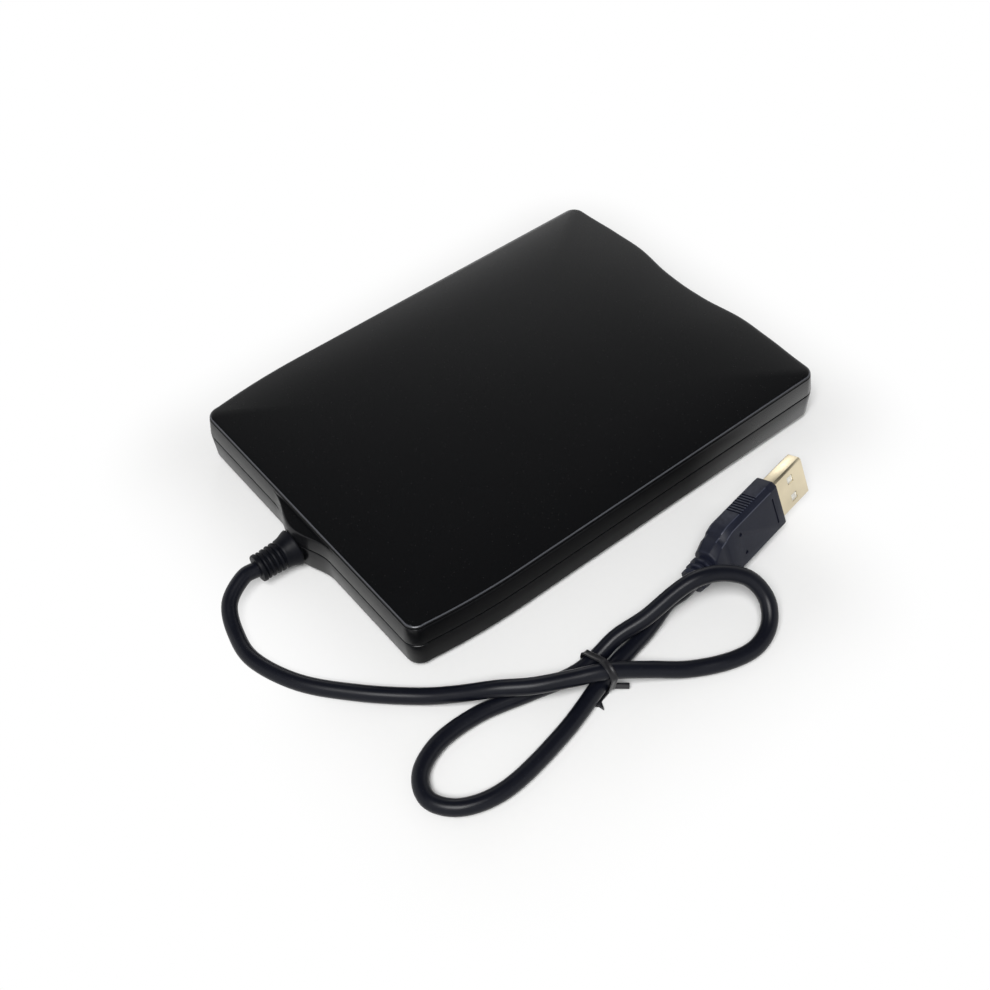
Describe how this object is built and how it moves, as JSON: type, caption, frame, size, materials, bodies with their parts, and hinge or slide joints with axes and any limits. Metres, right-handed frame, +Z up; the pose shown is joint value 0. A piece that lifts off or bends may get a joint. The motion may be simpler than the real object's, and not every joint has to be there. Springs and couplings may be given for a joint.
{
  "type": "external floppy disk drive",
  "caption": "Slim external floppy disk drive with a front disk slot, eject button, moving disk mechanism and a fixed cord ending in a flat rectangular plug.",
  "frame": {"origin": "on the desk plane under the middle of the case, cord set left out", "axes": "+Z up, +Y towards the rear wall where the cord leaves, the disk slot faces -Y"},
  "size_m": [0.1539, 0.1729, 0.0172],
  "materials": {
    "case_plastic": "satin fine-textured black plastic",
    "flap_plastic": "smooth dark grey plastic",
    "lens": "translucent green plastic",
    "foot_rubber": "matt black rubber",
    "cord_vinyl": "glossy black vinyl",
    "plug_vinyl": "satin blue-black vinyl",
    "plug_metal": "bright nickel plate",
    "white_plastic": "white plastic",
    "contact_metal": "gold-plated brass",
    "sheet_steel": "zinc-plated sheet steel",
    "bright_steel": "ground and polished steel",
    "board": "green glass-fibre circuit board",
    "copper": "enamelled copper wire",
    "magnet": "dark bonded magnet",
    "carriage_plastic": "glass-filled plastic",
    "head_ceramic": "polished ceramic",
    "chip": "moulded chip plastic",
    "capacitor": "brown sleeve and ceramic",
    "wire_red": "wire insulation"
  },
  "bodies": {
    "case": {"top_cover": "case_plastic", "bottom_cover": "case_plastic", "front_bezel": "case_plastic", "led_lens": "lens", "led": "lens", "rubber_feet": "foot_rubber", "case_screws": "bright_steel", "strain_relief": "cord_vinyl", "cord": "cord_vinyl", "usb_plug_body": "plug_vinyl", "usb_plug_shell": "plug_metal", "usb_plug_insulator": "white_plastic", "usb_plug_contacts": "contact_metal", "cord_tie": "cord_vinyl", "chassis_frame": "sheet_steel", "chassis_screws": "bright_steel", "eject_springs": "bright_steel", "motor_board": "board", "stator_poles": "bright_steel", "stator_coils": "copper", "spindle_bearing": "contact_metal", "guide_rods": "bright_steel", "rod_clips": "sheet_steel", "stepper_motor": "bright_steel", "motor_bracket": "sheet_steel", "screw_bearing": "contact_metal", "control_board": "board", "board_screws": "bright_steel", "control_chips": "chip", "crystal": "bright_steel", "board_capacitors": "capacitor", "cable_connector": "white_plastic", "inner_wires": "wire_red", "flat_ribbon": "white_plastic", "ribbon_connectors": "white_plastic", "switch_bodies": "flap_plastic"},
    "flap": {"dust_flap": "flap_plastic"},
    "eject_slide": {"eject_button": "flap_plastic", "eject_plate": "sheet_steel"},
    "holder": {"disk_holder": "sheet_steel", "lever_pivot": "bright_steel"},
    "lever": {"shutter_lever": "sheet_steel"},
    "spindle": {"rotor_cup": "sheet_steel", "rotor_magnet": "magnet", "spindle_hub": "bright_steel", "drive_pin": "bright_steel"},
    "carriage": {"head_carriage": "carriage_plastic", "lower_head": "head_ceramic", "arm_pin": "bright_steel", "arm_spring": "bright_steel", "screw_follower": "carriage_plastic"},
    "head_arm": {"upper_head_arm": "sheet_steel", "upper_head": "head_ceramic"},
    "screw": {"lead_screw": "bright_steel"},
    "plunger_a": {"plunger_left": "white_plastic"},
    "plunger_b": {"plunger_right": "white_plastic"},
    "plunger_c": {"plunger_inner": "white_plastic"}
  },
  "joints": [
    {"name": "eject_push", "type": "slide", "parent": "case", "child": "eject_slide", "axis": [0, -1, 0], "range_m": [0, 0.004]},
    {"name": "holder_drop", "type": "slide", "parent": "case", "child": "holder", "axis": [0, 0, -1], "range_m": [0, 0.0017]},
    {"name": "flap_swing", "type": "hinge", "parent": "case", "child": "flap", "pos_m": [0, -0.06685, 0.0141], "axis": [1, 0, 0], "range_deg": [0, 80], "stiffness_Nm_per_rad": 0.00002},
    {"name": "shutter_lever_swing", "type": "hinge", "parent": "holder", "child": "lever", "pos_m": [-0.036, 0.0115, 0.0142], "axis": [0, 0, -1], "range_deg": [0, 45], "stiffness_Nm_per_rad": 0.0001},
    {"name": "spindle_spin", "type": "hinge", "parent": "case", "child": "spindle", "pos_m": [0, -0.0215, 0.007], "axis": [0, 0, 1], "continuous": true},
    {"name": "carriage_travel", "type": "slide", "parent": "case", "child": "carriage", "axis": [0, -1, 0], "range_m": [0, 0.0148]},
    {"name": "head_arm_swing", "type": "hinge", "parent": "carriage", "child": "head_arm", "pos_m": [0, 0.0535, 0.0116], "axis": [1, 0, 0], "range_deg": [0, 6]},
    {"name": "screw_spin", "type": "hinge", "parent": "case", "child": "screw", "pos_m": [0.018, 0.0375, 0.0086], "axis": [0, -1, 0], "continuous": true},
    {"name": "plunger_press_a", "type": "slide", "parent": "case", "child": "plunger_a", "axis": [0, 0, -1], "range_m": [0, 0.0012], "stiffness_N_per_m": 50},
    {"name": "plunger_press_b", "type": "slide", "parent": "case", "child": "plunger_b", "axis": [0, 0, -1], "range_m": [0, 0.0012], "stiffness_N_per_m": 50},
    {"name": "plunger_press_c", "type": "slide", "parent": "case", "child": "plunger_c", "axis": [0, 0, -1], "range_m": [0, 0.0012], "stiffness_N_per_m": 50}
  ],
  "couplings": [
    {"joint": "holder_drop", "follows": "eject_push", "ratio": 0.425},
    {"joint": "head_arm_swing", "follows": "eject_push", "rad_per_m": 26.184},
    {"joint": "screw_spin", "follows": "carriage_travel", "rad_per_m": 1675.5}
  ]
}
